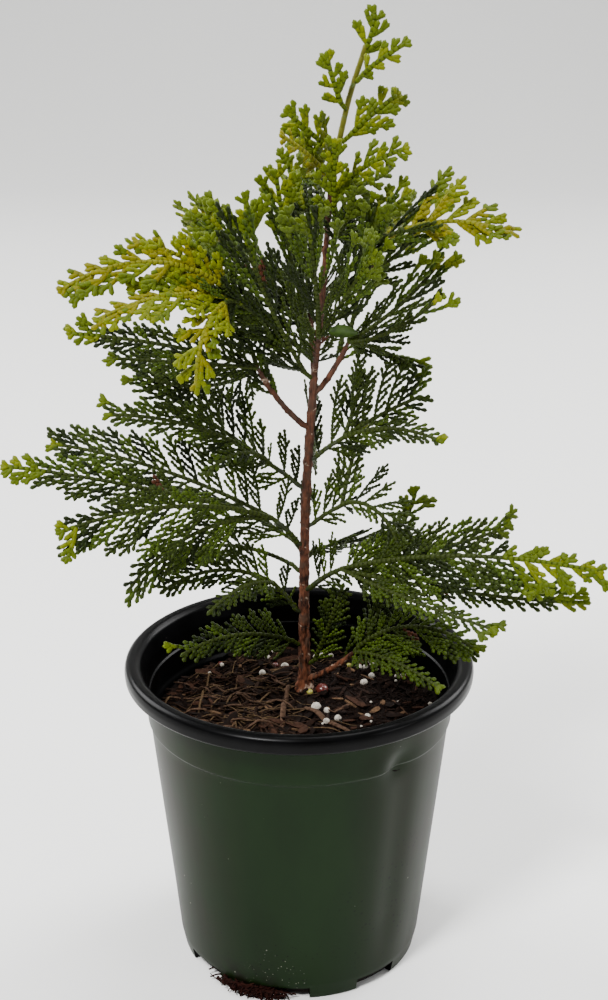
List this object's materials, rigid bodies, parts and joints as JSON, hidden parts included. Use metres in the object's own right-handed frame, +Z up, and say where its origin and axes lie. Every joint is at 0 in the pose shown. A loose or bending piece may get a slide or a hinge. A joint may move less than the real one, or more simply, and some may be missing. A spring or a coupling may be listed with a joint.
{
  "type": "potted golden hinoki cypress",
  "caption": "Young golden hinoki cypress with flat fans of dark green sprays and gold tips, growing in a round tapered nursery pot of dark green plastic filled with bark mix.",
  "frame": {"origin": "centre of the pot's flat underside, where the plant stands", "axes": "+Z up along the pot's axis; +X to the plant's right as the picture sees it; the plant's front looks along -Y"},
  "size_m": [0.2565, 0.1817, 0.4449],
  "materials": {
    "pot": "satin",
    "soil": "matte",
    "bark": "matte",
    "leaf": "satin",
    "lime": "satin",
    "gold": "satin"
  },
  "bodies": {
    "root": {"pot": "pot", "soil": "soil", "trunk": "bark", "bough_right_foot": "bark", "bough_left_low": "bark", "bough_right_low": "bark", "bough_left_mid": "bark", "bough_back_low": "bark", "bough_right_mid": "bark", "bough_left_high": "bark", "bough_right_high": "bark", "bough_left": "bark", "bough_right": "bark", "bough_front": "bark", "bough_back": "bark", "bough_gold_left": "bark", "mass_left_pot": "leaf", "mass_right_foot": "leaf", "mass_right_pot": "leaf", "mass_left_low": "leaf", "mass_left_mid": "leaf", "mass_left_inner": "leaf", "mass_left_high": "leaf", "mass_left_bough": "leaf", "mass_gold_left": "gold", "mass_lime_left": "lime", "mass_crown_left": "leaf", "mass_crown_front": "leaf", "mass_right_bough": "leaf", "mass_gold_right": "gold", "mass_right_high": "leaf", "mass_right_mid": "leaf", "mass_right_low": "leaf", "mass_leader": "lime", "mass_top_right": "lime", "mass_top_left": "lime", "mass_upper_left": "lime", "mass_upper_right": "lime", "mass_side_right": "lime", "mass_gold_top": "gold", "mass_shoots": "lime", "mass_back_low": "leaf", "mass_back_left": "leaf", "mass_back_right": "leaf", "mass_back_mid": "leaf", "mass_crown_back": "leaf", "mass_back_upper": "lime"}
  },
  "joints": []
}
